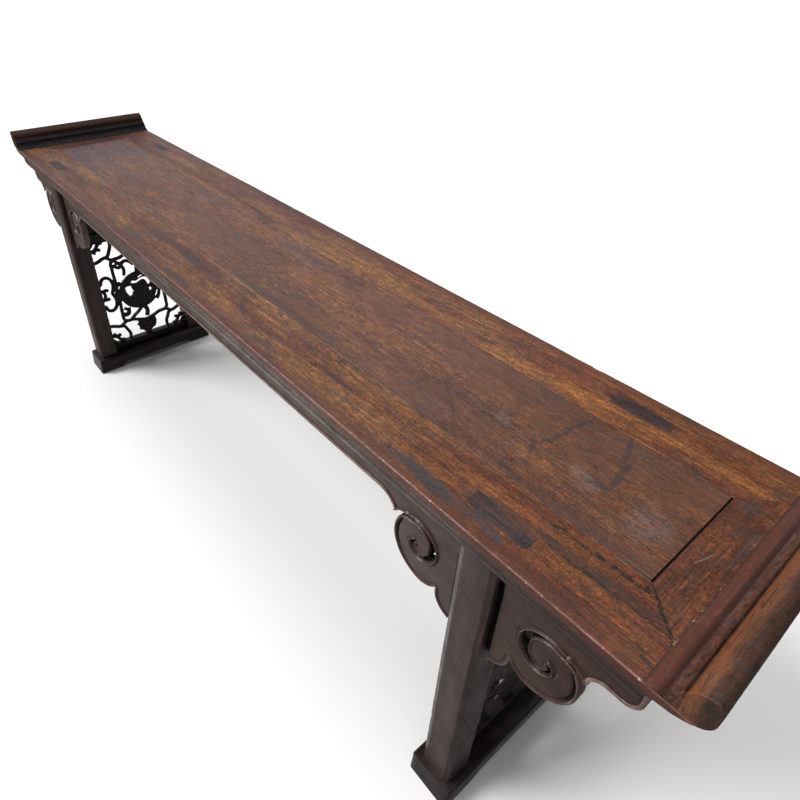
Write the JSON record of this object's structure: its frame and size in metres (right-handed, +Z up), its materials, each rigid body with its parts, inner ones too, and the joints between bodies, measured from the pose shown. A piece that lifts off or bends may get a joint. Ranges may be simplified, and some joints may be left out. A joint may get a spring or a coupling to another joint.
{
  "type": "altar table",
  "caption": "Long narrow trestle altar table with everted ends, cloud-carved spandrels and openwork end panels on foot runners, in worn lacquered wood.",
  "frame": {"origin": "on the floor under the middle of the table top", "axes": "+X along the table towards its right-hand end, +Y from front to back, +Z up"},
  "size_m": [2.756, 0.514, 0.938],
  "materials": {
    "panel_wood": "worn red-brown lacquer, stained and scratched",
    "frame_wood": "worn orange-brown lacquer with dark streaks",
    "flange_wood": "worn red-brown lacquer, chipped along the bead",
    "dark_wood": "dark worn lacquer, rubbed pale along the edges",
    "trestle_wood": "near-black lacquer, rubbed reddish where touched",
    "cover_wood": "dark inlaid patches",
    "bare_wood": "oiled, unlacquered underside timber"
  },
  "bodies": {
    "root": {"back_apron": "dark_wood", "back_left_inner_spandrel": "dark_wood", "back_left_leg": "dark_wood", "back_left_outer_spandrel": "dark_wood", "back_right_inner_spandrel": "dark_wood", "back_right_leg": "dark_wood", "back_right_outer_spandrel": "dark_wood", "back_top_rail": "frame_wood", "front_apron": "dark_wood", "front_left_inner_spandrel": "dark_wood", "front_left_leg": "dark_wood", "front_left_outer_spandrel": "dark_wood", "front_right_inner_spandrel": "dark_wood", "front_right_leg": "dark_wood", "front_right_outer_spandrel": "dark_wood", "front_top_rail": "frame_wood", "left_cross_board": "trestle_wood", "left_end_board": "dark_wood", "left_end_rail": "frame_wood", "left_flange": "flange_wood", "left_foot_runner": "trestle_wood", "left_lower_stretcher": "trestle_wood", "left_openwork_panel": "trestle_wood", "left_upper_stretcher": "trestle_wood", "mortise_covers": "cover_wood", "panel_batten_1": "bare_wood", "panel_batten_2": "bare_wood", "panel_batten_3": "bare_wood", "panel_batten_4": "bare_wood", "panel_batten_5": "bare_wood", "panel_batten_6": "bare_wood", "panel_batten_7": "bare_wood", "right_cross_board": "trestle_wood", "right_end_board": "dark_wood", "right_end_rail": "frame_wood", "right_flange": "flange_wood", "right_foot_runner": "trestle_wood", "right_lower_stretcher": "trestle_wood", "right_openwork_panel": "trestle_wood", "right_upper_stretcher": "trestle_wood", "top_panel": "panel_wood"}
  },
  "joints": []
}
